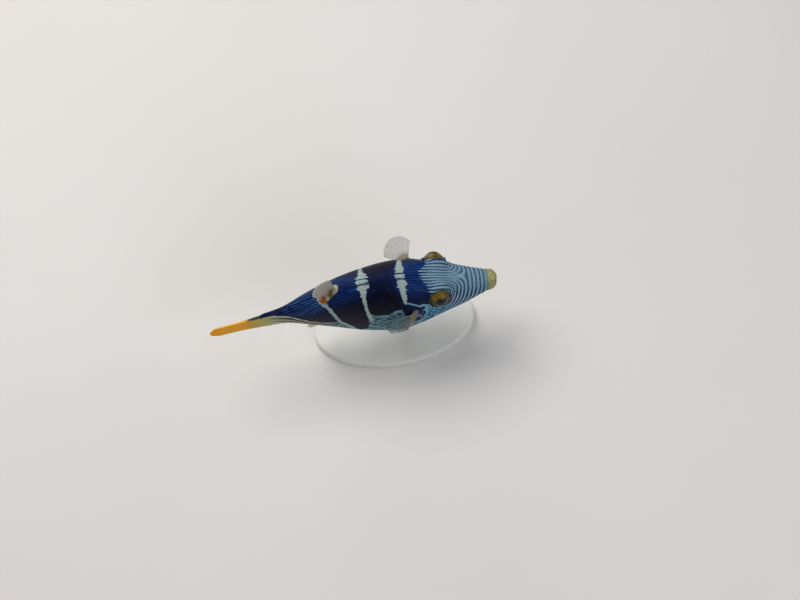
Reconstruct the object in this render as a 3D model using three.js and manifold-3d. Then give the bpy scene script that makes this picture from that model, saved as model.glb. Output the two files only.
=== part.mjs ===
// A black-saddled sharpnose puffer at life size, swimming level with its tail turned a little to the
// right, held up by a plain display stand.
// Millimetres, +Z up, +X towards the fish's head and +Y to its left.
// The origin is the centre of the stand's underside.
import * as THREE from "three";
import { mergeVertices } from "three/addons/utils/BufferGeometryUtils.js";
import Module from "manifold-3d";

const wasm = await Module();
wasm.setup();

// Driving dimensions.
// Shares are parts of the standard length, from the snout tip to the root of the tail fin.
const standardLength = 65.4;
const degrees = THREE.MathUtils.degToRad;
const axisHeight = 27; // the mouth-to-tail axis above the floor
const snoutTipX = 30; // the snout tip in front of the stand's centre
const gap = 0.3; // clearance between neighbouring pieces

// The trunk's tail end turns to the fish's right between these two stations.
const bendStart = 0.55;
const bendEnd = 0.92;
const bendAngle = degrees(6);

// The outline, as shares of the standard length: [station, value].
const backLine = [
  [0, 0.03], [0.06, 0.05], [0.13, 0.078], [0.2, 0.114], [0.27, 0.152], [0.35, 0.184],
  [0.47, 0.206], [0.6, 0.195], [0.72, 0.156], [0.82, 0.106], [0.91, 0.074], [1, 0.069],
];
const bellyLine = [
  [0, -0.033], [0.06, -0.052], [0.13, -0.08], [0.22, -0.116], [0.33, -0.154], [0.45, -0.182],
  [0.57, -0.186], [0.68, -0.163], [0.78, -0.118], [0.87, -0.079], [0.94, -0.065], [1, -0.063],
];
const halfWidthLine = [
  [0, 0.036], [0.06, 0.048], [0.15, 0.076], [0.25, 0.1], [0.34, 0.123], [0.43, 0.135],
  [0.57, 0.115], [0.7, 0.084], [0.8, 0.058], [0.9, 0.028], [1, 0.015],
];
const widestLine = [
  [0, 0], [0.1, -0.012], [0.3, -0.035], [0.45, -0.045],
  [0.6, -0.035], [0.75, -0.008], [0.9, 0.003], [1, 0.003],
];
const upperFullness = 2.1; // exponent of the section above its widest point: 2 is an ellipse
const browFullness = 0.95; // how much squarer the section is between the eyes
const browSpread = 0.075; // over this much of the length each way
const lowerFullness = 2.2;
const snoutRounding = 0.035; // the stretch over which the snout tip rounds off
const tailRounding = 0.02; // and over which the tail's end does
const tailFlatness = 0.25; // 1 would close the tail's end to a point
const keelHeight = 0.45; // the ridge of skin along the back and the belly, mm
const keelTurn = 0.16; // its half width, radians round the body
const keelFrom = 0.3;
const keelTo = 0.7;
const keelFade = 0.08;

// The eyes.
const eyeStation = 0.257;
const eyeRadius = 3.2;
const eyeSide = 4.4; // from the middle plane to the eyeball's centre
const eyeRise = 6.4; // above the axis
const orbitSwell = 0.5; // how far the head swells round the eye
const orbitSpread = 3.9;
const orbitInner = 3; // the swelling starts this far from the middle plane

// Where the body is parted.
const lipStation = 0.048;
const snoutStation = 0.165;
const gillStation = 0.343;
const stalkStation = 0.84;

// Piecewise smooth curve through [station, value] pairs, level at both ends.
function curveThrough(points) {
  const slopes = points.map((point, i) => {
    const before = points[Math.max(i - 1, 0)];
    const after = points[Math.min(i + 1, points.length - 1)];
    return (after[1] - before[1]) / (after[0] - before[0]);
  });
  return (at) => {
    const clamped = THREE.MathUtils.clamp(at, points[0][0], points[points.length - 1][0]);
    let i = 0;
    while (i < points.length - 2 && clamped > points[i + 1][0]) i += 1;
    const span = points[i + 1][0] - points[i][0];
    const t = (clamped - points[i][0]) / span;
    const rise = points[i + 1][1] - points[i][1];
    const blend = t * t * (3 - 2 * t);
    const bulgeStart = (t - 2 * t * t + t * t * t) * slopes[i] * span;
    const bulgeEnd = (t * t * t - t * t) * slopes[i + 1] * span;
    return points[i][1] + rise * blend + bulgeStart + bulgeEnd;
  };
}

const back = curveThrough(backLine);
const belly = curveThrough(bellyLine);
const halfWidth = curveThrough(halfWidthLine);
const widest = curveThrough(widestLine);

// The backbone's heading at a station, and its place in plan.
function headingAt(station) {
  return bendAngle * THREE.MathUtils.smoothstep(station, bendStart, bendEnd);
}

const planSteps = 300;
const planReach = 1.3; // the plan is worked out to past the tail fin's end
const plan = [new THREE.Vector2(snoutTipX, 0)];
for (let i = 0; i < planSteps; i += 1) {
  const step = (planReach / planSteps) * standardLength;
  const heading = headingAt(((i + 0.5) * planReach) / planSteps);
  plan.push(new THREE.Vector2(-Math.cos(heading) * step, -Math.sin(heading) * step).add(plan[i]));
}

function placeInPlan(station) {
  const at = THREE.MathUtils.clamp((station / planReach) * planSteps, 0, planSteps - 1e-6);
  const i = Math.floor(at);
  return plan[i].clone().lerp(plan[i + 1], at - i);
}

// From a place along, left of and above the backbone to the model's frame.
function fromBody(station, left, up) {
  const place = placeInPlan(Math.max(station, 0));
  const heading = headingAt(station);
  const ahead = Math.max(-station, 0) * standardLength;
  return new THREE.Vector3(
    place.x - Math.sin(heading) * left + ahead,
    place.y + Math.cos(heading) * left,
    axisHeight + up,
  );
}

function power(value, exponent) {
  return Math.sign(value) * Math.abs(value) ** exponent;
}

// The section's exponent at a station, above or below its widest point.
function fullnessAt(station, above) {
  if (!above) return lowerFullness;
  return upperFullness + browFullness * Math.exp(-(((station - eyeStation) / browSpread) ** 2));
}

// A point of the skin. turn is 0 at the left side and a quarter turn at the back; swell moves it outwards.
function skinPoint(station, turn, swell = 0, share = 1) {
  const nose = Math.sqrt(1 - (1 - Math.min(station / snoutRounding, 1)) ** 2);
  const tail = Math.sqrt(1 - tailFlatness * (1 - Math.min((1 - station) / tailRounding, 1)) ** 2);
  const rounded = nose * tail * share;
  const above = Math.sin(turn) > 0;
  const fullness = fullnessAt(station, above);
  const middle = widest(station) * standardLength;
  const edge = (above ? back(station) : -belly(station)) * standardLength;
  const height = (edge + (above ? -middle : middle)) * rounded + swell;
  const width = halfWidth(station) * standardLength * rounded + swell;
  let left = width * power(Math.cos(turn), 2 / fullness);
  let up = middle + height * power(Math.sin(turn), 2 / fullness);
  const keelShare = THREE.MathUtils.smoothstep(station, keelFrom, keelFrom + keelFade)
    * (1 - THREE.MathUtils.smoothstep(station, keelTo - keelFade, keelTo));
  const offRidge = Math.abs(Math.abs(turn) - Math.PI / 2);
  up += Math.sign(Math.sin(turn)) * keelHeight * keelShare * Math.exp(-((offRidge / keelTurn) ** 2));
  const fromEye = ((station - eyeStation) * standardLength) ** 2 + (up - eyeRise) ** 2;
  const beside = Math.min(Math.abs(left) / orbitInner, 1);
  left += Math.sign(left) * orbitSwell * Math.exp(-fromEye / orbitSpread ** 2) * beside;
  return fromBody(station, left, up);
}

// Geometry to solid and back.
function solidFrom(geometry) {
  const bare = new THREE.BufferGeometry();
  bare.setAttribute("position", geometry.getAttribute("position").clone());
  bare.setIndex(geometry.index);
  const merged = mergeVertices(bare, 1e-4);
  const mesh = new wasm.Mesh({
    numProp: 3,
    vertProperties: new Float32Array(merged.attributes.position.array),
    triVerts: new Uint32Array(merged.index.array),
  });
  return new wasm.Manifold(mesh);
}

function geometryFrom(solid) {
  const mesh = solid.getMesh();
  const geometry = new THREE.BufferGeometry();
  geometry.setAttribute("position", new THREE.BufferAttribute(new Float32Array(mesh.vertProperties), 3));
  geometry.setIndex(new THREE.BufferAttribute(new Uint32Array(mesh.triVerts), 1));
  geometry.computeVertexNormals();
  return geometry;
}

function largest(solid) {
  return solid.decompose().sort((a, b) => b.volume() - a.volume())[0];
}

// Moves a geometry by a turn about its own centre and then to a place.
function placed(geometry, place, rotation = new THREE.Euler()) {
  const matrix = new THREE.Matrix4().makeRotationFromEuler(rotation).setPosition(place);
  return solidFrom(geometry.applyMatrix4(matrix));
}

// The whole body: a closed cylinder whose rings are drawn onto the skin.
const bodyRings = 46;
const bodySides = 36;
const ringCrowding = 0.55; // how much closer the rings stand at the snout than at the tail
const firstStation = 0.0012; // the snout tip is cut off flat here

function bodySolid(swell = 0) {
  const geometry = new THREE.CylinderGeometry(1, 1, 1, bodySides, bodyRings);
  const position = geometry.getAttribute("position");
  for (let i = 0; i < position.count; i += 1) {
    const along = 0.5 - position.getY(i);
    const station = Math.max(along * (1 - ringCrowding + ringCrowding * along), firstStation);
    const share = Math.hypot(position.getX(i), position.getZ(i));
    const turn = Math.atan2(position.getX(i), position.getZ(i));
    const onSkin = share > 0.5;
    const point = skinPoint(station, turn, onSkin ? swell : 0, onSkin ? 1 : 0);
    if (along === 1) point.x -= swell;
    position.setXYZ(i, point.x, point.y, point.z);
  }
  const solid = solidFrom(geometry);
  return solid.volume() > 0 ? solid : solidFrom(flipped(geometry));
}

// The same surface with its faces turned round.
function flipped(geometry) {
  const index = geometry.index;
  for (let i = 0; i < index.count; i += 3) {
    const second = index.getX(i + 1);
    index.setX(i + 1, index.getX(i + 2));
    index.setX(i + 2, second);
  }
  return geometry;
}

// A thin slab across the body, square to the backbone.
const slabReach = 60;

function slabAt(station) {
  const slab = new THREE.BoxGeometry(gap, slabReach, slabReach);
  return placed(slab, fromBody(station, 0, 0), new THREE.Euler(0, 0, headingAt(station)));
}

// The mouth: a slit that opens at the snout tip, and a thin cut from its corners back to the lips' edge.
const mouthHalfWidth = 2.1;
const mouthHalfHeight = 0.95;
const mouthDepth = 3.4;
const mouthCutAhead = 1; // how far the cut starts in front of the snout tip

function mouthSolid() {
  const slit = new THREE.SphereGeometry(1, 24, 12).scale(mouthDepth, mouthHalfWidth, mouthHalfHeight);
  return placed(slit, fromBody(0, 0, 0));
}

function mouthCorners() {
  const depth = lipStation * standardLength + mouthCutAhead;
  const cut = new THREE.BoxGeometry(depth, slabReach, gap);
  return placed(cut, fromBody(lipStation, 0, 0).add(new THREE.Vector3(depth / 2, 0, 0)));
}

// A tooth plate: a D-shaped beak with a notch at the middle.
const toothHalfWidth = 1.45;
const toothHeight = 0.52;
const toothFront = 0.8; // the beak's front, behind the snout tip
const toothDepth = 1.9;
const toothCheek = 0.7; // the straight sides start behind the front by this share of the half width
const toothBow = 0.8; // how square the front is: 1 is a square corner
const toothNotch = 0.12; // half the notch's width

function toothPlate(upwards) {
  const outline = new THREE.Shape();
  const cheekX = -toothHalfWidth * toothCheek;
  const bowY = toothHalfWidth * toothBow;
  outline.moveTo(-toothDepth, -toothHalfWidth);
  outline.lineTo(cheekX, -toothHalfWidth);
  outline.quadraticCurveTo(-toothNotch, -bowY, 0, -toothNotch);
  outline.lineTo(-2 * toothNotch, 0);
  outline.lineTo(0, toothNotch);
  outline.quadraticCurveTo(-toothNotch, bowY, cheekX, toothHalfWidth);
  outline.lineTo(-toothDepth, toothHalfWidth);
  const shape = { depth: toothHeight, bevelEnabled: false, curveSegments: 6 };
  const plate = new THREE.ExtrudeGeometry(outline, shape);
  const low = upwards ? gap / 2 : -gap / 2 - toothHeight;
  return placed(plate, fromBody(0, 0, low).add(new THREE.Vector3(-toothFront, 0, 0)));
}

// The room that the beak needs inside the lips and the snout.
function toothRoom() {
  const width = 2 * (toothHalfWidth + gap);
  const room = new THREE.BoxGeometry(toothDepth + gap, width, 2 * toothHeight + 3 * gap);
  return placed(room, fromBody(0, 0, 0).add(new THREE.Vector3(-toothFront - (toothDepth + gap) / 2, 0, 0)));
}

// The eye: a ball with a low clear dome over the pupil, looking outwards and a little up and forwards.
const corneaRadius = 2.4;
const corneaProud = 0.22; // how far it stands out of the ball
const eyeUpTilt = degrees(24);
const eyeForwardTilt = degrees(7);

function eyeCentre(side) {
  return fromBody(eyeStation, side * eyeSide, eyeRise);
}

function eyeLook(side) {
  const look = new THREE.Vector3(Math.sin(eyeForwardTilt), side * Math.cos(eyeUpTilt), Math.sin(eyeUpTilt));
  return look.normalize();
}

function eyeSolid(side) {
  const ball = placed(new THREE.SphereGeometry(eyeRadius, 24, 14), eyeCentre(side));
  const out = eyeRadius + corneaProud - corneaRadius;
  const dome = new THREE.SphereGeometry(corneaRadius, 16, 10);
  return ball.add(placed(dome, eyeCentre(side).addScaledVector(eyeLook(side), out)));
}

// The room for the eyeball in the head.
function eyeHollow(side) {
  return placed(new THREE.SphereGeometry(eyeRadius + gap, 24, 16), eyeCentre(side));
}

// The mound of skin that holds the eyeball, and the fold round its opening.
const moundRadius = 3.95;
const moundIn = 0.8; // how far behind the eyeball's centre the mound's centre lies
const rimRadius = 2.95;
const rimThickness = 0.42;
const rimOut = 1.65; // how far out of the eyeball's centre the fold lies

function eyeMound(side) {
  const mound = new THREE.SphereGeometry(moundRadius, 28, 16);
  return placed(mound, eyeCentre(side).addScaledVector(eyeLook(side), -moundIn));
}

function eyeRim(side) {
  const ring = new THREE.TorusGeometry(rimRadius, rimThickness, 8, 28);
  const turn = new THREE.Quaternion().setFromUnitVectors(new THREE.Vector3(0, 0, 1), eyeLook(side));
  ring.applyQuaternion(turn);
  return placed(ring, eyeCentre(side).addScaledVector(eyeLook(side), rimOut));
}

// The nostril: a low open papilla in front of the eye.
const nostrilStation = 0.196;
const nostrilTurn = degrees(52);
const nostrilRadius = 0.42;
const nostrilProfile = [
  [0, -1.2], [1.5, -1.2], [1.15, 0.55], [0.75, 0.85], [0.5, 0.7], [0.4, -0.3], [0, -0.3],
];

// The direction square to the skin, from two short steps over it.
const stationStep = 0.005;
const turnStep = 0.03;

function outwards(station, turn) {
  const along = skinPoint(station + stationStep, turn).sub(skinPoint(station - stationStep, turn));
  const round = skinPoint(station, turn + turnStep).sub(skinPoint(station, turn - turnStep));
  return round.cross(along).normalize();
}

function nostril(side) {
  const turn = side > 0 ? nostrilTurn : Math.PI - nostrilTurn;
  const scaled = nostrilProfile.map(([r, h]) => new THREE.Vector2(r * nostrilRadius, h * nostrilRadius));
  const papilla = new THREE.LatheGeometry(scaled, 12);
  const out = outwards(nostrilStation, turn);
  papilla.applyQuaternion(new THREE.Quaternion().setFromUnitVectors(new THREE.Vector3(0, 1, 0), out));
  return placed(papilla, skinPoint(nostrilStation, turn));
}

// The gill opening: a short upright slit in front of the pectoral fin's root.
const gillSlitStation = 0.33;
const gillSlitRise = 0.9; // its middle above the axis
const gillSlitHalf = { width: 0.33, depth: 1.1, height: 2.3 };
const gillSlitLean = -0.25; // radians, the upper end forwards

function gillSlit(side) {
  const { width, depth, height } = gillSlitHalf;
  const slit = new THREE.SphereGeometry(1, 16, 10).scale(width, depth, height);
  const place = fromBody(gillSlitStation, side * flankAt(gillSlitStation, gillSlitRise), gillSlitRise);
  return placed(slit, place, new THREE.Euler(0, gillSlitLean, 0));
}

// A fin: a fan of rays joined by a membrane, as one closed sheet whose thickness rises at each ray.
// pointAt gives the sheet's middle, for a place across the fan and a place along the ray, both 0 to 1.
// thick is its thickness at the root and thin the least at the tip.
const betweenRays = 0.62; // the membrane's thickness as a share of a ray's
const sheetStep = 0.02; // the short steps over the sheet that give its facing

function sheetFacing(pointAt, fan, out) {
  const round = pointAt(Math.min(fan + sheetStep, 1), out).sub(pointAt(Math.max(fan - sheetStep, 0), out));
  const along = pointAt(fan, Math.min(out + sheetStep, 1)).sub(pointAt(fan, Math.max(out - sheetStep, 0)));
  return round.cross(along).normalize();
}

function finSolid({ rays, steps, pointAt, thick, thin }) {
  const columns = 2 * rays - 2;
  const vertices = [];
  const indices = [];
  const cell = (face, i, j) => (face * (columns + 1) + i) * (steps + 1) + j;
  for (const face of [-1, 1]) {
    for (let i = 0; i <= columns; i += 1) {
      const ridge = i % 2 === 0 ? 1 : betweenRays;
      for (let j = 0; j <= steps; j += 1) {
        const [fan, out] = [i / columns, j / steps];
        const half = ((thin + (thick - thin) * (1 - out) ** 2) * ridge) / 2;
        const point = pointAt(fan, out).addScaledVector(sheetFacing(pointAt, fan, out), face * half);
        vertices.push(point.x, point.y, point.z);
      }
    }
  }
  const quad = (a, b, c, d) => indices.push(a, b, c, a, c, d);
  const shift = cell(1, 0, 0);
  for (let i = 0; i < columns; i += 1) {
    for (let j = 0; j < steps; j += 1) {
      const [a, b, c, d] = [cell(0, i, j), cell(0, i + 1, j), cell(0, i + 1, j + 1), cell(0, i, j + 1)];
      quad(a, b, c, d);
      indices.push(a + shift, c + shift, b + shift, a + shift, d + shift, c + shift);
    }
    quad(cell(1, i, 0), cell(1, i + 1, 0), cell(0, i + 1, 0), cell(0, i, 0));
    quad(cell(0, i, steps), cell(0, i + 1, steps), cell(1, i + 1, steps), cell(1, i, steps));
  }
  for (let j = 0; j < steps; j += 1) {
    quad(cell(0, 0, j), cell(0, 0, j + 1), cell(1, 0, j + 1), cell(1, 0, j));
    quad(cell(1, columns, j), cell(1, columns, j + 1), cell(0, columns, j + 1), cell(0, columns, j));
  }
  const geometry = new THREE.BufferGeometry();
  geometry.setAttribute("position", new THREE.Float32BufferAttribute(vertices, 3));
  geometry.setIndex(indices);
  const solid = solidFrom(geometry);
  return solid.volume() > 0 ? solid : solidFrom(flipped(geometry));
}

// A rounded end to a fan: rays are longest in its middle.
const fanSquareness = 2.4;

function fanLength(fan, longest, roundness) {
  return longest * (1 - roundness * Math.abs(2 * fan - 1) ** fanSquareness);
}

// The height of the skin above or below the axis, a little way off the middle line.
function crestAt(station, left, above) {
  const middle = widest(station) * standardLength;
  const reach = (above ? back(station) : belly(station)) * standardLength - middle;
  const fullness = fullnessAt(station, above);
  const fall = (Math.abs(left) / (halfWidth(station) * standardLength)) ** fullness;
  return middle + reach * (1 - fall) ** (1 / fullness);
}

// The dorsal and anal fins start on the middle line, and their bases turn from it to the fish's right.
const middleFinClear = 0.35; // the root's height over the skin
const middleFinRoundness = 0.34;
const middleFinBow = 0.5;

function middleFin({ from, to, updown, length, leadSlant, trailSlant, lean, turn, rays }) {
  const facing = headingAt(from) + turn;
  const side = new THREE.Vector3(-Math.sin(facing), Math.cos(facing), 0);
  const pointAt = (fan, out) => {
    const reach = fanLength(fan, length, middleFinRoundness) * out;
    const slant = THREE.MathUtils.lerp(leadSlant, trailSlant, fan);
    const station = THREE.MathUtils.lerp(from, to, fan);
    const rootLeft = (from - station) * standardLength * Math.tan(turn);
    const along = (reach * Math.sin(slant) * Math.cos(turn)) / standardLength;
    const left = rootLeft - reach * (Math.sin(slant) * Math.sin(turn) - Math.cos(slant) * Math.sin(lean));
    const up = crestAt(station, rootLeft, updown > 0) + updown * (middleFinClear + reach * Math.cos(slant));
    return fromBody(station + along, left, up).addScaledVector(side, middleFinBow * out * out);
  };
  return finSolid({ rays, steps: 7, pointAt, thick: 1.6, thin: 0.6 });
}

const dorsalFin = {
  from: 0.674, to: 0.73, updown: 1, length: 7.3, rays: 9,
  leadSlant: degrees(6), trailSlant: degrees(32), lean: degrees(7), turn: degrees(24),
};
const analFin = {
  from: 0.73, to: 0.785, updown: -1, length: 6.8, rays: 9,
  leadSlant: degrees(10), trailSlant: degrees(36), lean: degrees(5), turn: degrees(14),
};

// The tail fin, nearly closed, with a softly rounded end.
const caudalRays = 11;
const caudalLength = 14.6;
const caudalRootHeight = 6.6;
const caudalEndHeight = 5.6;
const caudalClear = 0.33; // the root's distance behind the stalk
const caudalRoundness = 0.1;

function caudalFin() {
  const middle = ((back(1) + belly(1)) / 2) * standardLength;
  const pointAt = (fan, out) => {
    const height = THREE.MathUtils.lerp(caudalRootHeight, caudalEndHeight, out);
    const reach = THREE.MathUtils.lerp(caudalClear, fanLength(fan, caudalLength, caudalRoundness), out);
    return fromBody(1 + reach / standardLength, 0, middle + (0.5 - fan) * height);
  };
  return finSolid({ rays: caudalRays, steps: 7, pointAt, thick: 1.2, thin: 0.6 });
}

// The pectoral fins scull in turn: the right one lies back along its flank, the left one is spread wide.
// rise and fall are the slopes of the upper and the lower ray; swing is a ray's turn away from the flank.
const pectoralRays = 13;
const pectoralLength = 7.1;
const pectoralTop = 4.7; // the root's upper end above the axis
const pectoralBottom = -2.9;
const pectoralTopStation = 0.36;
const pectoralBottomStation = 0.392;
const pectoralRoundness = 0.27;
const pectoralThickness = 1.1;
const pectoralClear = 0.33; // the root's clearance from the flank
const rightPectoral = {
  rise: degrees(10), fall: degrees(-6), upperSwing: degrees(6), lowerSwing: degrees(6),
};
const leftPectoral = {
  rise: degrees(12), fall: degrees(-10), upperSwing: degrees(106), lowerSwing: degrees(36),
};

function pectoralFin(side, { rise, fall, upperSwing, lowerSwing }) {
  const pointAt = (fan, out) => {
    const reach = fanLength(fan, pectoralLength, pectoralRoundness) * out;
    const slope = THREE.MathUtils.lerp(rise, fall, fan);
    const swing = THREE.MathUtils.lerp(upperSwing, lowerSwing, fan);
    const rootStation = THREE.MathUtils.lerp(pectoralTopStation, pectoralBottomStation, fan);
    const station = rootStation + (reach * Math.cos(slope) * Math.cos(swing)) / standardLength;
    const up = THREE.MathUtils.lerp(pectoralTop, pectoralBottom, fan) + reach * Math.sin(slope);
    const rootHalf = (Math.abs(Math.cos(swing)) * pectoralThickness) / 2;
    const off = pectoralClear + rootHalf + reach * Math.cos(slope) * Math.sin(swing);
    return fromBody(station, side * (flankAt(station, up) + off), up);
  };
  return finSolid({ rays: pectoralRays, steps: 6, pointAt, thick: pectoralThickness, thin: 0.6 });
}

// The body's half width at a height above the axis.
function flankAt(station, up) {
  const middle = widest(station) * standardLength;
  const above = up > middle;
  const reach = Math.abs((above ? back(station) : belly(station)) * standardLength - middle);
  const fullness = fullnessAt(station, above);
  const fall = Math.min(Math.abs(up - middle) / reach, 1) ** fullness;
  return halfWidth(station) * standardLength * (1 - fall) ** (1 / fullness);
}

// The stand: a flat oval base with a rounded edge, and a rod whose top is cut to the belly.
const baseLength = 46;
const baseWidth = 25;
const baseThickness = 3.2;
const baseEdge = 0.8; // height of the rounded edge
const baseShoulder = [0.982, 0.95]; // where the edge starts and ends in plan, as shares of the outline
const rodRadius = 1.5;
const rodX = 1.5;

function standBase() {
  const outline = [
    [0, 0], [1, 0], [1, baseThickness - baseEdge], [baseShoulder[0], baseThickness - baseEdge / 3],
    [baseShoulder[1], baseThickness], [0, baseThickness],
  ].map(([r, h]) => new THREE.Vector2(r, h));
  const disc = new THREE.LatheGeometry(outline, 48).rotateX(Math.PI / 2);
  return placed(disc.scale(baseLength / 2, baseWidth / 2, 1), new THREE.Vector3(0, 0, 0));
}

function standRod(bodyCutter) {
  const bottom = baseThickness + gap;
  const height = axisHeight - bottom;
  const rod = new THREE.CylinderGeometry(rodRadius, rodRadius, height, 20).rotateX(Math.PI / 2);
  return lowest(placed(rod, new THREE.Vector3(rodX, 0, bottom + height / 2)).subtract(bodyCutter));
}

function lowest(solid) {
  return solid.decompose().sort((a, b) => a.boundingBox().min[2] - b.boundingBox().min[2])[0];
}

// Materials.
function material(color, roughness, metalness = 0) {
  return new THREE.MeshStandardMaterial({ color, roughness, metalness });
}

const materials = {
  stripedSkin: material(0x5d8494, 0.4),
  saddleSkin: material(0x0a1638, 0.4),
  lips: material(0xa8a068, 0.45),
  teeth: material(0xe8e2d0, 0.3),
  eye: material(0x6b5614, 0.15),
  clearFin: material(0xb9c4b4, 0.4),
  yellowFin: material(0xd08c1c, 0.4),
  base: material(0xd8d8d4, 0.5),
  rod: material(0xb8b8b8, 0.3, 1),
};

// Assembly.
const cutter = bodySolid(gap);
const whole = bodySolid();
const parted = [lipStation, snoutStation, gillStation, stalkStation]
  .reduce((solid, station) => solid.subtract(slabAt(station)), whole)
  .subtract(mouthSolid())
  .subtract(toothRoom())
  .subtract(mouthCorners())
  .decompose()
  .sort((a, b) => b.boundingBox().max[0] - a.boundingBox().max[0]);

const lips = parted.slice(0, 2).sort((a, b) => b.boundingBox().max[2] - a.boundingBox().max[2]);
const [snoutPiece, headPiece, trunkPiece, stalkPiece] = parted.slice(2);
const sides = [1, -1];
const headRaised = sides.reduce(
  (solid, side) => solid.add(eyeMound(side)).add(eyeRim(side)).add(nostril(side)),
  headPiece,
);
const headDone = largest(sides.reduce(
  (solid, side) => solid.subtract(eyeHollow(side)).subtract(gillSlit(side)),
  headRaised,
));

const pieces = [
  ["upper_lip", lips[0], materials.lips],
  ["lower_lip", lips[1], materials.lips],
  ["upper_teeth", toothPlate(true), materials.teeth],
  ["lower_teeth", toothPlate(false), materials.teeth],
  ["snout", snoutPiece, materials.stripedSkin],
  ["head", headDone, materials.stripedSkin],
  ["eye_left", eyeSolid(1), materials.eye],
  ["eye_right", eyeSolid(-1), materials.eye],
  ["trunk", trunkPiece, materials.saddleSkin],
  ["tail_stalk", stalkPiece, materials.saddleSkin],
  ["pectoral_fin_left", pectoralFin(1, leftPectoral), materials.clearFin],
  ["pectoral_fin_right", pectoralFin(-1, rightPectoral), materials.clearFin],
  ["dorsal_fin", middleFin(dorsalFin), materials.clearFin],
  ["anal_fin", middleFin(analFin), materials.clearFin],
  ["caudal_fin", caudalFin(), materials.yellowFin],
  ["stand_base", standBase(), materials.base],
  ["stand_rod", standRod(cutter), materials.rod],
];

const puffer = new THREE.Group();
for (const [name, solid, finish] of pieces) {
  const mesh = new THREE.Mesh(geometryFrom(solid), finish);
  mesh.name = name;
  puffer.add(mesh);
}

export default puffer;
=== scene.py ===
import math

import bmesh
import bpy
import numpy as np
from mathutils import Matrix, Vector


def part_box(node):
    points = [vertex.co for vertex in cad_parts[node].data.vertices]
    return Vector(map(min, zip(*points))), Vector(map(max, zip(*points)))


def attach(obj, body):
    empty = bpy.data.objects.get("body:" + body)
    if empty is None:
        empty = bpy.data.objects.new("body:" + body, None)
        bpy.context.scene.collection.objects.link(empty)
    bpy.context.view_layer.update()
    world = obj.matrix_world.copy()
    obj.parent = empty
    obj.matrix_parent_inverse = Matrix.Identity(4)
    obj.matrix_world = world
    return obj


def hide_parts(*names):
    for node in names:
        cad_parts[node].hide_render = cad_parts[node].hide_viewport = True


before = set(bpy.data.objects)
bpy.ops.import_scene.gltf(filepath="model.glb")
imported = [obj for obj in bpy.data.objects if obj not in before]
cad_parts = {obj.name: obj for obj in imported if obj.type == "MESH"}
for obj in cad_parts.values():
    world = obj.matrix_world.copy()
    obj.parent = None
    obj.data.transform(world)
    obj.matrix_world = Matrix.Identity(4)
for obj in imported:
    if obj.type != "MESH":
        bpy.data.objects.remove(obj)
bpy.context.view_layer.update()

# Driving dimensions. Shares are parts of the length from the snout tip to the root of the tail fin.
BODY_LENGTH = 65.4
AXIS_HEIGHT = 27.0
SNOUT_TIP_X = 30.0
BEND_START, BEND_END, BEND = 0.55, 0.92, math.radians(6)

BACK = [
    (0, 0.03), (0.06, 0.05), (0.13, 0.078), (0.2, 0.114), (0.27, 0.152), (0.35, 0.184),
    (0.47, 0.206), (0.6, 0.195), (0.72, 0.156), (0.82, 0.106), (0.91, 0.074), (1, 0.069),
]
BELLY = [
    (0, -0.033), (0.06, -0.052), (0.13, -0.08), (0.22, -0.116), (0.33, -0.154), (0.45, -0.182),
    (0.57, -0.186), (0.68, -0.163), (0.78, -0.118), (0.87, -0.079), (0.94, -0.065), (1, -0.063),
]
HALF_WIDTH = [
    (0, 0.036), (0.06, 0.048), (0.15, 0.076), (0.25, 0.1), (0.34, 0.123), (0.43, 0.135),
    (0.57, 0.115), (0.7, 0.084), (0.8, 0.058), (0.9, 0.028), (1, 0.015),
]
WIDEST = [
    (0, 0), (0.1, -0.012), (0.3, -0.035), (0.45, -0.045), (0.6, -0.035), (0.75, -0.008), (0.9, 0.003), (1, 0.003),
]
UPPER_FULLNESS, BROW_FULLNESS, BROW_SPREAD, LOWER_FULLNESS = 2.1, 0.95, 0.075, 2.2
TAIL_ROUNDING, TAIL_FLATNESS = 0.02, 0.25
KEEL_HEIGHT, KEEL_TURN, KEEL_FROM, KEEL_TO, KEEL_FADE = 0.45, 0.16, 0.3, 0.7, 0.08

EYE_STATION, EYE_RADIUS, EYE_SIDE, EYE_RISE = 0.257, 3.2, 4.4, 6.4
EYE_TILT, EYE_AHEAD = math.radians(24), math.radians(7)
ORBIT_SWELL, ORBIT_SPREAD, ORBIT_INNER = 0.5, 3.9, 3.0
MOUND_RADIUS, MOUND_IN, MOUND_BLEND = 3.9, 0.8, 0.35


def curve(points):
    """A smooth curve through (station, value) pairs."""
    x, y = np.array(points, float).T
    before = np.maximum(np.arange(len(x)) - 1, 0)
    after = np.minimum(np.arange(len(x)) + 1, len(x) - 1)
    slope = (y[after] - y[before]) / (x[after] - x[before])

    def at(v):
        v = np.clip(v, x[0], x[-1])
        i = np.clip(np.searchsorted(x, v) - 1, 0, len(x) - 2)
        span = x[i + 1] - x[i]
        t = (v - x[i]) / span
        level = y[i] + (y[i + 1] - y[i]) * t * t * (3 - 2 * t)
        return level + (t - 2 * t * t + t**3) * slope[i] * span + (t**3 - t * t) * slope[i + 1] * span

    return at


back, belly, half_width, widest = map(curve, (BACK, BELLY, HALF_WIDTH, WIDEST))


def smoothstep(v, a, b):
    t = np.clip((v - a) / (b - a), 0, 1)
    return t * t * (3 - 2 * t)


def lerp(a, b, share):
    return a + (b - a) * share


def bell(distance, width):
    """1 at no distance, and next to nothing past two widths."""
    return np.exp(-((distance / width) ** 2))


def unit(v):
    return v / np.linalg.norm(v, axis=-1, keepdims=True)


def heading(station):
    return BEND * smoothstep(station, BEND_START, BEND_END)


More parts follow.
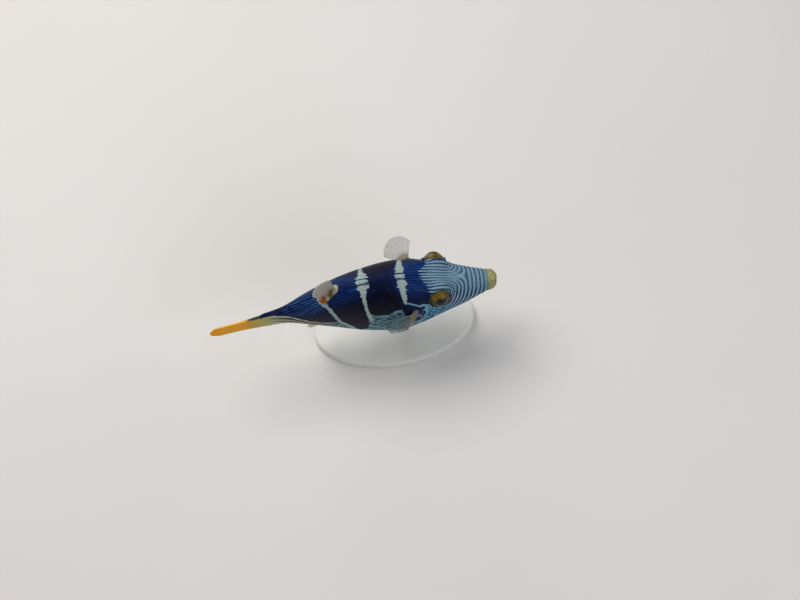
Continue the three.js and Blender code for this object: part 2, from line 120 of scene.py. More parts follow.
PLAN_STEP, PLAN_END = 0.001, 1.3
plan_at = np.arange(0, PLAN_END + PLAN_STEP, PLAN_STEP)
plan_heading = heading((plan_at[1:] + plan_at[:-1]) / 2)
plan_x = np.concatenate([[SNOUT_TIP_X], SNOUT_TIP_X - np.cumsum(np.cos(plan_heading)) * BODY_LENGTH * PLAN_STEP])
plan_y = np.concatenate([[0], -np.cumsum(np.sin(plan_heading)) * BODY_LENGTH * PLAN_STEP])


def from_body(station, left, up):
    """From a place along, left of and above the backbone to the model's frame."""
    station, left, up = np.broadcast_arrays(*(np.asarray(v, float) for v in (station, left, up)))
    turn = heading(station)
    x = np.interp(station, plan_at, plan_x) - np.sin(turn) * left
    y = np.interp(station, plan_at, plan_y) + np.cos(turn) * left
    return np.stack([x, y, AXIS_HEIGHT + up], -1)


def fullness_at(station, above):
    """How square the body's section is above or below its widest place: 2 is an ellipse."""
    return np.where(above, UPPER_FULLNESS + BROW_FULLNESS * bell(station - EYE_STATION, BROW_SPREAD), LOWER_FULLNESS)


def section(station, turn):
    """Left and up of the skin at one station, for turns from a quarter (the back) to minus a quarter (the belly)."""
    share = math.sqrt(1 - TAIL_FLATNESS * (1 - min((1 - station) / TAIL_ROUNDING, 1)) ** 2)
    above, updown = np.sin(turn) > 0, np.sign(np.sin(turn))
    power = 2 / fullness_at(station, above)
    middle = widest(station) * BODY_LENGTH
    edge = np.where(above, back(station), -belly(station)) * BODY_LENGTH
    height = (edge + np.where(above, -middle, middle)) * share
    left = half_width(station) * BODY_LENGTH * share * np.abs(np.cos(turn)) ** power
    up = middle + height * updown * np.abs(np.sin(turn)) ** power
    keel = smoothstep(station, KEEL_FROM, KEEL_FROM + KEEL_FADE)
    keel = keel * (1 - smoothstep(station, KEEL_TO - KEEL_FADE, KEEL_TO))
    up = up + updown * KEEL_HEIGHT * keel * bell(np.abs(turn) - math.pi / 2, KEEL_TURN)
    from_eye = np.hypot((station - EYE_STATION) * BODY_LENGTH, up - EYE_RISE)
    return left + ORBIT_SWELL * bell(from_eye, ORBIT_SPREAD) * np.minimum(left / ORBIT_INNER, 1), up


def eye_centre(side):
    return from_body(EYE_STATION, side * EYE_SIDE, EYE_RISE)


def eye_look(side):
    return unit(np.array([math.sin(EYE_AHEAD), side * math.cos(EYE_TILT), math.sin(EYE_TILT)]))


# Meshes from grids of points.
def add_mesh(name, points, faces, fields=None, smooth=True):
    """A mesh object from points in millimetres and faces, with a float or vector field for each point."""
    mesh = bpy.data.meshes.new(name)
    mesh.from_pydata((np.asarray(points).reshape(-1, 3) * 0.001).tolist(), [], np.asarray(faces).tolist())
    mesh.validate()
    mesh.update()
    for key, values in (fields or {}).items():
        values = np.asarray(values, np.float32)
        vector = values.ndim > 1 and values.shape[-1] == 3
        layer = mesh.attributes.new(key, "FLOAT_VECTOR" if vector else "FLOAT", "POINT")
        layer.data.foreach_set("vector" if vector else "value", values.ravel())
    mesh.polygons.foreach_set("use_smooth", [smooth] * len(mesh.polygons))
    obj = bpy.data.objects.new(name, mesh)
    bpy.context.scene.collection.objects.link(obj)
    return obj


def recalculated(obj, *ends):
    """The object with flat faces over the ends, if any, and every face turned outwards."""
    work = bmesh.new()
    work.from_mesh(obj.data)
    work.verts.ensure_lookup_table()
    for loop in ends:
        work.faces.new([work.verts[int(k)] for k in loop])
    bmesh.ops.recalc_face_normals(work, faces=work.faces)
    work.to_mesh(obj.data)
    work.free()
    return obj


def ring_faces(rows, columns):
    """Quads of a grid whose columns close into a ring."""
    i, j = np.meshgrid(np.arange(rows - 1), np.arange(columns), indexing="ij")
    k = (j + 1) % columns
    quads = np.stack([i * columns + j, i * columns + k, (i + 1) * columns + k, (i + 1) * columns + j], -1)
    return quads.reshape(-1, 4)


def grid_normals(points):
    """Normals of a ring grid whose rows run from tail to snout and columns from the back down one side."""
    along = np.gradient(points, axis=0)
    around = (np.roll(points, -1, axis=1) - np.roll(points, 1, axis=1)) / 2
    return unit(np.cross(along, around) + 1e-12)


def from_segment(points, a, b):
    """Distance of every point from the segment a b, and the nearest place's share of the way from a to b."""
    a, b = np.asarray(a, float), np.asarray(b, float)
    share = np.clip(((points - a) @ (b - a)) / ((b - a) @ (b - a)), 0, 1)
    return np.linalg.norm(points - a - share[..., None] * (b - a), axis=-1), share


# Fins: the middle of each sheet, for a place across the fan and a place along the ray, both from 0 to 1.
FAN_SQUARENESS = 2.4
SUNK, RISEN_AT = 0.5, 0.22
MIDDLE_FIN_CLEAR, MIDDLE_FIN_ROUNDNESS, MIDDLE_FIN_BOW = 0.35, 0.34, 0.5
PECTORAL_TOP, PECTORAL_BOTTOM = (0.36, 4.7), (0.392, -2.9)
PECTORAL_LENGTH, PECTORAL_ROUNDNESS, PECTORAL_THICKNESS, PECTORAL_CLEAR = 7.1, 0.27, 1.1, 0.33
CAUDAL_LENGTH, CAUDAL_ROUNDNESS, CAUDAL_ROOT_HEIGHT, CAUDAL_END_HEIGHT = 14.6, 0.1, 6.6, 5.6
DORSAL_FROM, DORSAL_TO, DORSAL_TURN = 0.674, 0.73, math.radians(24)
ANAL_FROM, ANAL_TO, ANAL_TURN = 0.73, 0.785, math.radians(14)


def fan_length(fan, longest, roundness):
    return longest * (1 - roundness * np.abs(2 * fan - 1) ** FAN_SQUARENESS)


def clearance(out, full):
    """A fin's root lies a little inside the skin, and the sheet is at its full distance further out."""
    return full - (full + SUNK) * (1 - smoothstep(out, 0, RISEN_AT))


def flank_at(station, up):
    """The body's half width at a height above the axis."""
    middle = widest(station) * BODY_LENGTH
    above = up > middle
    reach = np.abs(np.where(above, back(station), belly(station)) * BODY_LENGTH - middle)
    fullness = fullness_at(station, above)
    fall = np.minimum(np.abs(up - middle) / reach, 1) ** fullness
    return half_width(station) * BODY_LENGTH * (1 - fall) ** (1 / fullness)


def crest_at(station, left, above):
    """The height of the back or the belly, a little way off the middle line."""
    middle = widest(station) * BODY_LENGTH
    reach = (back if above else belly)(station) * BODY_LENGTH - middle
    fullness = fullness_at(station, above)
    fall = (np.abs(left) / (half_width(station) * BODY_LENGTH)) ** fullness
    return middle + reach * (1 - fall) ** (1 / fullness)


def middle_root(start, station, turn):
    """How far left of the middle line the base of the dorsal or the anal fin lies."""
    return (start - station) * BODY_LENGTH * math.tan(turn)


def middle_fin(start, end, updown, length, lead, trail, lean, turn):
    """The dorsal or the anal fin. lead and trail are the slants of its first and last ray."""
    facing = heading(start) + turn
    across = np.array([-math.sin(facing), math.cos(facing), 0])
    lead, trail, lean = math.radians(lead), math.radians(trail), math.radians(lean)

    def point_at(fan, out):
        reach = fan_length(fan, length, MIDDLE_FIN_ROUNDNESS) * out
        slant = lerp(lead, trail, fan)
        station = lerp(start, end, fan)
        root_left = middle_root(start, station, turn)
        along = reach * np.sin(slant) * math.cos(turn) / BODY_LENGTH
        left = root_left - reach * (np.sin(slant) * math.sin(turn) - np.cos(slant) * math.sin(lean))
        rise = clearance(out, MIDDLE_FIN_CLEAR) + reach * np.cos(slant)
        up = crest_at(station, root_left, updown > 0) + updown * rise
        return from_body(station + along, left, up) + (MIDDLE_FIN_BOW * out**2)[..., None] * across

    return point_at


def pectoral(side, rise, fall, upper_swing, lower_swing):
    """A fin on the flank, from the slope of its first and last ray and their swing away from the flank."""
    rise, fall, upper_swing, lower_swing = map(math.radians, (rise, fall, upper_swing, lower_swing))

    def point_at(fan, out):
        reach = fan_length(fan, PECTORAL_LENGTH, PECTORAL_ROUNDNESS) * out
        slope = lerp(rise, fall, fan)
        swing = lerp(upper_swing, lower_swing, fan)
        root_station = lerp(PECTORAL_TOP[0], PECTORAL_BOTTOM[0], fan)
        station = root_station + reach * np.cos(slope) * np.cos(swing) / BODY_LENGTH
        up = lerp(PECTORAL_TOP[1], PECTORAL_BOTTOM[1], fan) + reach * np.sin(slope)
        root_half = np.abs(np.cos(swing)) * PECTORAL_THICKNESS / 2
        off = clearance(out, PECTORAL_CLEAR + root_half) + reach * np.cos(slope) * np.sin(swing)
        return from_body(station, side * (flank_at(station, up) + off), up)

    return point_at


def caudal(fan, out):
    middle = (back(1) + belly(1)) / 2 * BODY_LENGTH
    height = lerp(CAUDAL_ROOT_HEIGHT, CAUDAL_END_HEIGHT, out)
    reach = lerp(-2 * SUNK, fan_length(fan, CAUDAL_LENGTH, CAUDAL_ROUNDNESS), out)
    return from_body(1 + reach / BODY_LENGTH, 0 * fan, middle + (0.5 - fan) * height)


RAY_COLUMNS, RAY_STEPS, RAY_WIDTH = 14, 72, 0.1
FORK, FORK_FROM = 0.17, 0.4
SCALLOP, SCALLOP_FROM = 0.025, 0.8
RAY_JOINTS, JOINT_SWELL, JOINTS_FROM, JOINTS_FULL = 34, 0.12, 0.15, 0.4
MEMBRANE_THICKNESS = 0.36
EDGE_DEPTH, EDGE_THICKNESS, SIDE_DEPTH, SIDE_THICKNESS = 0.06, 0.35, 0.5, 0.5
WAVE_ACROSS, WAVE_OUT, WAVE_GROWTH = 1.3, 2.2, 1.5


def tapered(inset, depth, least):
    """1 further in than depth, falling to least on the edge."""
    return least + (1 - least) * np.sqrt(np.clip(inset / depth, 0, 1))


def fin_mesh(name, point_at, rays, thick, thin, wave):
    """A thin closed fan: rays as ridges that split in two towards the edge, joined by a membrane."""
    columns = (rays - 1) * RAY_COLUMNS
    fan, out = np.meshgrid(np.linspace(0, 1, columns + 1), np.linspace(0, 1, RAY_STEPS + 1), indexing="ij")
    phase = fan * (rays - 1)
    from_ray = phase - np.round(phase)
    fork = FORK * smoothstep(out, FORK_FROM, 1)
    ray = np.maximum(bell(from_ray - fork, RAY_WIDTH), bell(from_ray + fork, RAY_WIDTH))
    reach = out * (1 - SCALLOP * np.abs(2 * from_ray) * smoothstep(out, SCALLOP_FROM, 1))
    middle = point_at(fan, reach)
    facing = unit(np.cross(np.gradient(middle, axis=0), np.gradient(middle, axis=1)))
    joints = 1 + JOINT_SWELL * np.cos(out * 2 * math.pi * RAY_JOINTS) * smoothstep(out, JOINTS_FROM, JOINTS_FULL)
    half = 0.5 * lerp(thick, thin, 1 - (1 - out) ** 2) * lerp(MEMBRANE_THICKNESS, 1, ray * joints)
    half = half * tapered(1 - out, EDGE_DEPTH, EDGE_THICKNESS)
    half = half * tapered(np.minimum(fan, 1 - fan) * (rays - 1), SIDE_DEPTH, SIDE_THICKNESS)
    bow = wave * np.sin(phase * WAVE_ACROSS + WAVE_OUT * out) * out**WAVE_GROWTH
    middle = middle + bow[..., None] * facing
    near, far = middle + half[..., None] * facing, middle - half[..., None] * facing
    n, m = columns + 1, RAY_STEPS + 1
    i, j = np.meshgrid(np.arange(n - 1), np.arange(m - 1), indexing="ij")
    a, b, c, d = i * m + j, (i + 1) * m + j, (i + 1) * m + j + 1, i * m + j + 1
    faces = [np.stack([a, b, c, d], -1).reshape(-1, 4), np.stack([a, d, c, b], -1).reshape(-1, 4) + n * m]
    first_ray, last_ray = np.arange(m), (n - 1) * m + np.arange(m - 2, -1, -1)
    edge, root = np.arange(1, n) * m + m - 1, np.arange(n - 2, 0, -1) * m
    rim = np.concatenate([first_ray, edge, last_ray, root])
    after = np.roll(rim, -1)
    faces.append(np.stack([rim, after, after + n * m, rim + n * m], -1))
    fields = {key: np.tile(values.ravel(), 2) for key, values in (("ray", ray), ("out", out), ("fan", fan))}
    corners = np.concatenate([near.reshape(-1, 3), far.reshape(-1, 3)])
    return recalculated(add_mesh(name, corners, np.concatenate(faces), fields))


# The skin: rows from the tail forward, then rolled over the lips and into the mouth.
HALF_COLUMNS = 200
TAIL_STEP, HEAD_FROM, HEAD_STEP = 0.0028, 0.38, 0.00165
CAP_SHARES, CAP_BULGE = (0.0, 0.35, 0.7, 0.9), 0.45
LIP_STATION, LIP_REACH, LIP_CORNER_REACH = 0.034, 1.94, 0.5
LIP_ROLL, LIP_CORNER_ROLL, LIP_ROWS, INSIDE_FROM, INSIDE_FULL = 1.13, 0.42, 22, 13, 18
MOUTH_LINING = ((0.4, 1.02), (0.9, 1.15), (1.5, 1.1), (1.9, 0.7), (2.0, 0.25), (2.02, 0.0))
TURNS = np.linspace(math.pi / 2, -math.pi / 2, 1201)


def half_section(station):
    left, up = section(station, TURNS)
    girth = np.concatenate([[0], np.cumsum(np.hypot(np.diff(left), np.diff(up)))])
    at = np.linspace(0, girth[-1], HALF_COLUMNS + 1)
    return np.interp(at, girth, left), np.interp(at, girth, up), at


def mirrored(values, sign=1):
    """One half's columns, then the other half's on the way back up."""
    return np.concatenate([values, sign * values[-2:0:-1]])


def build_skin():
    """Points, their distances from the snout tip and from the middle of the back, and how far in the mouth they are."""
    rows = []

    def add_row(place, station, girth, inside=0.0):
        rows.append((place, np.full(len(place), station), mirrored(girth, -1), np.full(len(place), inside)))

    left, up, girth = half_section(1.0)
    for share in CAP_SHARES:
        place = from_body(1.0, mirrored(left, -1) * share, mirrored(up - up.mean()) * share + up.mean())
        place[:, 0] -= CAP_BULGE * math.sqrt(1 - share**2)
        add_row(place, 1.0, girth)
    for station in (*np.arange(1.0, HEAD_FROM, -TAIL_STEP), *np.arange(HEAD_FROM, LIP_STATION, -HEAD_STEP)):
        left, up, girth = half_section(station)
        add_row(from_body(station, mirrored(left, -1), mirrored(up)), station, girth)
    left, up, girth = half_section(LIP_STATION)
    ring = np.stack([mirrored(left, -1), mirrored(up)], -1)
    outward = unit(ring)
    corner = outward[:, 0] ** 2
    roll = LIP_ROLL - LIP_CORNER_ROLL * corner
    reach = LIP_REACH * (1 - LIP_CORNER_REACH * corner)
    for k in range(LIP_ROWS + 1):
        angle = math.pi * k / LIP_ROWS
        rolled = ring - outward * (roll * (1 - math.cos(angle)))[:, None]
        place = from_body(LIP_STATION, *rolled.T)
        place[:, 0] += reach * math.sin(angle)
        add_row(place, LIP_STATION * (1 - k / LIP_ROWS), girth, smoothstep(k, INSIDE_FROM, INSIDE_FULL))
    for depth, share in MOUTH_LINING:
        place = from_body(LIP_STATION, *(rolled * share).T)
        place[:, 0] -= depth
        add_row(place, 0.0, girth, 1.0)
    points, stations, around, inside = map(np.array, zip(*rows))
    return points, stations * BODY_LENGTH, around, inside


points, s, t, inside = build_skin()
normal = grid_normals(points)
if np.mean(np.sum(normal * (points - points.mean((0, 1))), -1)) < 0:
    normal = -normal

# Small forms: the fold behind the lips, the gill openings, the nostrils and the fleshy roots of the fins, with painted
# shade in the gill slits and nostril holes.
LIP_FOLD_S, LIP_FOLD_WIDTH, LIP_FOLD_DEPTH = 3.55, 0.33, 0.13
GILL_STATION, GILL_RISE, GILL_LEAN = 0.33, 0.9, 0.25
SLIT_HALF, SLIT_WIDTH, SLIT_DEPTH = 2.5, 0.3, 0.75
FLAP_HALF, FLAP_WIDTH, FLAP_RISE, FLAP_BEHIND = 2.9, 0.45, 0.22, 0.75
NOSTRIL_STATION, NOSTRIL_TURN = 0.196, math.radians(52)
RIM_RADIUS, RIM_RISE, HOLE_RADIUS, HOLE_DEPTH, HOLE_SHADE = 0.5, 0.5, 0.24, 0.75, 0.22
PECTORAL_PAD_WIDTH, PECTORAL_PAD_RISE, PECTORAL_PAD_SHADE = 0.95, 0.42, 1.0
MIDDLE_PAD_WIDTH, MIDDLE_PAD_RISE, MIDDLE_PAD_SHADE = 1.05, 0.55, 1.2

above_gill = points[..., 2] - AXIS_HEIGHT - GILL_RISE
behind_gill = s - GILL_STATION * BODY_LENGTH + GILL_LEAN * above_gill
slit = bell(behind_gill, SLIT_WIDTH) * np.sqrt(np.clip(1 - (above_gill / SLIT_HALF) ** 2, 0, 1))
flap = bell(behind_gill - FLAP_BEHIND, FLAP_WIDTH) * np.clip(1 - (above_gill / FLAP_HALF) ** 2, 0, 1)
rise = FLAP_RISE * flap - SLIT_DEPTH * slit - LIP_FOLD_DEPTH * bell(s - LIP_FOLD_S, LIP_FOLD_WIDTH) * (inside < 0.5)
# Painted shade: a mask that darkens the gill slits and, in the loop below, the nostril holes in the skin's colour.
recess_shade = slit
nostril_left, nostril_up = section(NOSTRIL_STATION, NOSTRIL_TURN)
pectoral_root = np.zeros(s.shape)
for side in (1, -1):
    apart = np.linalg.norm(points - from_body(NOSTRIL_STATION, side * nostril_left, nostril_up), axis=-1)
    rise += RIM_RISE * np.exp(-((apart / RIM_RADIUS) ** 4)) - HOLE_DEPTH * bell(apart, HOLE_RADIUS)
    recess_shade = recess_shade + bell(apart, HOLE_SHADE)
    ends = [from_body(station, side * flank_at(station, up), up) for station, up in (PECTORAL_TOP, PECTORAL_BOTTOM)]
    near, _ = from_segment(points, *ends)
    rise += PECTORAL_PAD_RISE * bell(near, PECTORAL_PAD_WIDTH)
    pectoral_root += bell(near, PECTORAL_PAD_SHADE)


def middle_pad(start, end, turn, above):
    """The fleshy root of the dorsal or the anal fin: its rise, its shade and the share of the way along it."""
    ends = []
    for station in (start, end):
        left = middle_root(start, station, turn)
        ends.append(from_body(station, left, crest_at(station, left, above)))
    near, share = from_segment(points, *ends)
    return MIDDLE_PAD_RISE * bell(near, MIDDLE_PAD_WIDTH), bell(near, MIDDLE_PAD_SHADE), share


dorsal_rise, dorsal_root, dorsal_share = middle_pad(DORSAL_FROM, DORSAL_TO, DORSAL_TURN, True)
anal_rise, anal_root, _ = middle_pad(ANAL_FROM, ANAL_TO, ANAL_TURN, False)
points = points + (rise + dorsal_rise + anal_rise)[..., None] * normal

# The mounds that hold the eyes, with a fold of skin round each opening. Angles are degrees from the eye's axis.
LID_INNER, LID_OUTER, LID_FROM, LID_TO = 2.55, 3.52, 55.0, 60.5
LID_FOLDS = ((0.12, 63.5, 3.2), (-0.1, 73.0, 3.0))
LID_REACH, LID_FADE_FROM, LID_FADE_TO = 6.0, 66, 80
LID_SHADE_AT, LID_SHADE_SPREAD = 61, 5.5

lid = np.zeros(s.shape)
for side in (1, -1):
    centre, look = eye_centre(side), eye_look(side)
    mound = centre - MOUND_IN * look
    away = points - mound
    far = np.linalg.norm(away, axis=-1)
    pushed = far + MOUND_BLEND * np.logaddexp(0, (MOUND_RADIUS - far) / MOUND_BLEND)
    ray = mound + away * (pushed / far)[..., None] - centre
    reach = np.linalg.norm(ray, axis=-1)
    angle = np.degrees(np.arccos(np.clip((ray @ look) / reach, -1, 1)))
    crest = lerp(LID_INNER, LID_OUTER, smoothstep(angle, LID_FROM, LID_TO))
    for height, at, spread in LID_FOLDS:
        crest = crest + height * bell(angle - at, spread)
    near_eye = reach < LID_REACH
    wanted = lerp(reach, crest, (1 - smoothstep(angle, LID_FADE_FROM, LID_FADE_TO)) * near_eye)
    points = centre + ray * (wanted / reach)[..., None]
    lid += bell(angle - LID_SHADE_AT, LID_SHADE_SPREAD) * near_eye

# The markings, as distances in millimetres over the skin: s from the snout tip, a from the middle of the back.
a = np.abs(t)


def between(value, knots):
    """Straight lines through (value, result) knots."""
    return np.interp(value, *zip(*knots))


def from_path(path):
    """Distance from a path of (s, a) places."""
    here = np.stack([s, a], -1)
    return np.minimum.reduce([from_segment(here, p, q)[0] for p, q in zip(path, path[1:])])


def spot(centre, half, clear):
    """1 in the middle of an oval spot, falling to 0 at clear times its half width."""
    return 1 - smoothstep(np.hypot((s - centre[0]) / half[0], (a - centre[1]) / half[1]), 0.5, clear)


def bar(front, rear, end):
    """How deep inside a bar that runs from the back down to end."""
    return np.minimum(np.minimum(s - between(a, front), between(a, rear) - s), end - a)


# The pale lines run along the body between the eyes and cross the snout in arcs; they meet in front of the brow.
SNOUT_LINE, ARC_TOP, ARC_BEND, ARC_FLAT = 1.1, 13.2, 0.0253, 30
BROW_LINE, BROW_LINES, BROW_FROM, BROW_FULL = 0.97, 3.5, 6.5, 11
WIDE_LINES, WIDE_SPACING = 4, 1.14
arcs = (ARC_TOP - s + ARC_BEND * a**2 / (1 + (a / ARC_FLAT) ** 2)) / SNOUT_LINE
rows_between = (BROW_LINES - a / BROW_LINE) * smoothstep(s, BROW_FROM, BROW_FULL)
phase = np.hypot(np.maximum(arcs, 0), np.maximum(rows_between, 0)) + np.minimum(np.maximum(arcs, rows_between), 0)
phase = np.where(phase > WIDE_LINES, phase, WIDE_LINES - (WIDE_LINES - phase) * WIDE_SPACING)
meeting = spot((11.9, 0.5), (1.4, 1.3), 1.2)

BAR_ONE_FRONT = [(0, 25.1), (1.2, 24.9), (2.7, 25.0), (5.8, 25.3), (8.2, 25.3)]
BAR_ONE_REAR = [(0, 27.6), (1.5, 27.5), (3, 27.3), (6.4, 26.8), (8, 26.5)]
BAR_TWO_FRONT = [(0, 34.6), (2, 34.9), (3.0, 35.6), (4.4, 36.0), (8.6, 36.0), (11, 35.6), (13.6, 35.0), (16, 34.6)]
BAR_TWO_REAR = [(0, 38.2), (1.6, 38.2), (2.5, 37.7), (4.6, 37.4), (8.3, 37.1), (11.6, 36.8), (16, 36.2)]
BAR_THREE_PATH = [(49.0, -1), (48.8, 1), (48.0, 2.8), (46.5, 5.6), (45.5, 9), (44.4, 13), (42.0, 17.1), (39.9, 22.5)]
BAR_THREE_HALF = [(0, 0.75), (3, 0.7), (8, 0.6), (14, 0.6), (20, 0.8)]
bars = np.maximum(bar(BAR_ONE_FRONT, BAR_ONE_REAR, 8.7), bar(BAR_TWO_FRONT, BAR_TWO_REAR, 14.5))
bars = np.maximum(bars, between(a, BAR_THREE_HALF) - from_path(BAR_THREE_PATH))

# A light line from the first bar to the cheek, then down in front of the gill opening and back.
CHEEK_PATH = [(25.2, 8.2), (22.9, 9.3), (21.2, 10.5), (20.6, 12.0), (20.6, 13.8), (21.8, 16.8), (24.1, 18.3), (26, 18)]
EYE_PATH = [(21.2, 10.4), (19.4, 10.0), (17.4, 10.3), (15.4, 10.0)]
CHEEK_LINE_HALF = 0.3
cheek_line = CHEEK_LINE_HALF - np.minimum(from_path(CHEEK_PATH), from_path(EYE_PATH))
gill_spot = spot((22.7, 14.3), (1.0, 1.25), 1.15)

# The lower edge of the saddles, the rear edge of the lined head, and how dark the saddles are.
LOW_EDGE = [
    (0, 8.0), (13, 8.0), (15, 8.7), (18, 9.4), (20.4, 10.2), (20.8, 14.0), (21.9, 16.9), (24.1, 18.4), (25.6, 17.0),
    (26.4, 13.5), (27.1, 10.4), (28.8, 10.9), (31.1, 12.0), (33.3, 12.2), (35.3, 11.4), (36.2, 13.0), (37.2, 20.5),
    (39.2, 22.5), (41.5, 18.6), (43.1, 14.8), (44.5, 13.2), (46.5, 13.0), (48.8, 12.0), (52.8, 8.7), (55.3, 5.9),
    (57.7, 3.4), (60.2, 1.8), (62.8, 1.0), (66, 0.8),
]
LOW_SLOPE = [(0, 1), (20, 1), (20.5, 0.45), (26, 0.5), (27, 1), (35.6, 1), (36.2, 0.4), (42, 0.5), (45, 1), (66, 1)]
HEAD_ALONG = [(0, 8), (16, 4.6), (18.0, 2.6), (21.2, 0), (23, -1.6), (66, -40)]
HEAD_ACROSS = [(1.0, 0), (4.2, -1.76), (5.4, -1.76), (9.4, -4.16)]
CHEEK_DEPTH, CHEEK_FROM, CHEEK_TO = 4.5, 9.4, 10.2
DEEP_ALONG = [
    (0, 0), (24, 0.05), (26.5, 0.2), (29, 0.72), (34, 0.8), (38, 0.4), (44, 0.3), (49, 0.2), (54, 0.25), (60, 0.7),
]
DEEP_ACROSS = [(0, -0.1), (3, 0.0), (5.5, 0.4), (9, 0.65)]
UNDER_FROM, UNDER_TO = 0.5, 0.86
LIPS_FROM, LIPS_TO = 1.9, 4.3
low = (a - between(s, LOW_EDGE)) * between(s, LOW_SLOPE)
head = between(s, HEAD_ALONG) + between(a, HEAD_ACROSS) + CHEEK_DEPTH * smoothstep(a, CHEEK_FROM, CHEEK_TO)
deep = np.clip(between(s, DEEP_ALONG) + between(a, DEEP_ACROSS), 0, 1)
under = smoothstep(a / a.max(1, keepdims=True), UNDER_FROM, UNDER_TO)
chart = np.stack([s, t, np.zeros(s.shape)], -1)

skin_fields = dict(
    phase=phase, meeting=meeting, bars=bars, cheek=cheek_line, gill_spot=gill_spot, low=low, head=head, deep=deep,
    under=under, lips=1 - smoothstep(s, LIPS_FROM, LIPS_TO), inside=inside, recess_shade=np.clip(recess_shade, 0, 1),
    lid=np.clip(lid, 0, 1), pectoral_root=np.clip(pectoral_root, 0, 1), dorsal_root=dorsal_root,
    dorsal_share=dorsal_share, anal_root=anal_root, across=a, along=s, chart=chart.reshape(-1, 3),
)
skin = add_mesh("puffer_skin", points, ring_faces(*s.shape), skin_fields)
recalculated(skin)


# Shader building.
def rgb(r, g, b):
    """An sRGB colour, 0 to 255, as linear light."""
    shares = (r / 255, g / 255, b / 255)
    return tuple(c / 12.92 if c <= 0.04045 else ((c + 0.055) / 1.055) ** 2.4 for c in shares) + (1.0,)


class Paint:
    """A node material built from the colours up."""

    def __init__(self, name):
        self.material = bpy.data.materials.new(name)
        self.material.use_nodes = True
        self.tree = self.material.node_tree
        self.shader = self.tree.nodes["Principled BSDF"]

    def node(self, kind, **settings):
        made = self.tree.nodes.new(kind)
        for key, value in settings.items():
            setattr(made, key, value)
        return made

    def put(self, socket, value):
        if isinstance(value, bpy.types.NodeSocket):
            self.tree.links.new(value, socket)
        else:
            socket.default_value = value

    def field(self, name, vector=False):
        return self.node("ShaderNodeAttribute", attribute_name=name).outputs["Vector" if vector else "Fac"]

    def math(self, operation, a, b=0.0):
        made = self.node("ShaderNodeMath", operation=operation)
        self.put(made.inputs[0], a)
        self.put(made.inputs[1], b)
        return made.outputs[0]

    def plus(self, a, b):
        return self.math("ADD", a, b)

    def minus(self, a, b):
        return self.math("SUBTRACT", a, b)

    def times(self, a, b):
        return self.math("MULTIPLY", a, b)

    def centred(self, value, amount):
        """A noise of 0 to 1 as a spread round 0."""
        return self.times(self.minus(value, 0.5), amount)

    def step(self, value, low, high):
        """0 at low, 1 at high, smooth between; falling where high is the smaller."""
        made = self.node("ShaderNodeMapRange", interpolation_type="SMOOTHSTEP")
        self.put(made.inputs["Value"], value)
        made.inputs["From Min"].default_value, made.inputs["From Max"].default_value = min(low, high), max(low, high)
        made.inputs["To Min"].default_value, made.inputs["To Max"].default_value = (0, 1) if low < high else (1, 0)
        return made.outputs["Result"]

    def mix(self, share, a, b):
        made = self.node("ShaderNodeMix", data_type="RGBA")
        self.put(made.inputs[0], share)
        self.put(made.inputs[6], a)
        self.put(made.inputs[7], b)
        return made.outputs[2]

    def stretch(self, vector, x, y, z):
        made = self.node("ShaderNodeVectorMath", operation="MULTIPLY")
        self.put(made.inputs[0], vector)
        made.inputs[1].default_value = (x, y, z)
        return made.outputs[0]

    def place(self):
        """The point in millimetres."""
        return self.stretch(self.node("ShaderNodeTexCoord").outputs["Object"], 1000, 1000, 1000)

    def noise(self, vector, scale, detail, rough):
        made = self.node("ShaderNodeTexNoise")
        self.put(made.inputs["Vector"], vector)
        made.inputs["Scale"].default_value = scale
        made.inputs["Detail"].default_value = detail
        made.inputs["Roughness"].default_value = rough
        return made.outputs["Fac"]

    def cells(self, vector, scale, feature="F1"):
        made = self.node("ShaderNodeTexVoronoi", feature=feature)
        self.put(made.inputs["Vector"], vector)
        made.inputs["Scale"].default_value = scale
        return made.outputs["Distance"]

    def bump(self, height, distance, strength, under=None):
        made = self.node("ShaderNodeBump")
        made.inputs["Strength"].default_value = strength
        made.inputs["Distance"].default_value = distance
        self.put(made.inputs["Height"], height)
        if under is not None:
            self.put(made.inputs["Normal"], under)
        return made.outputs["Normal"]

    def finish(self, **sockets):
        for key, value in sockets.items():
            self.put(self.shader.inputs[key.replace("_", " ")], value)
        return self.material


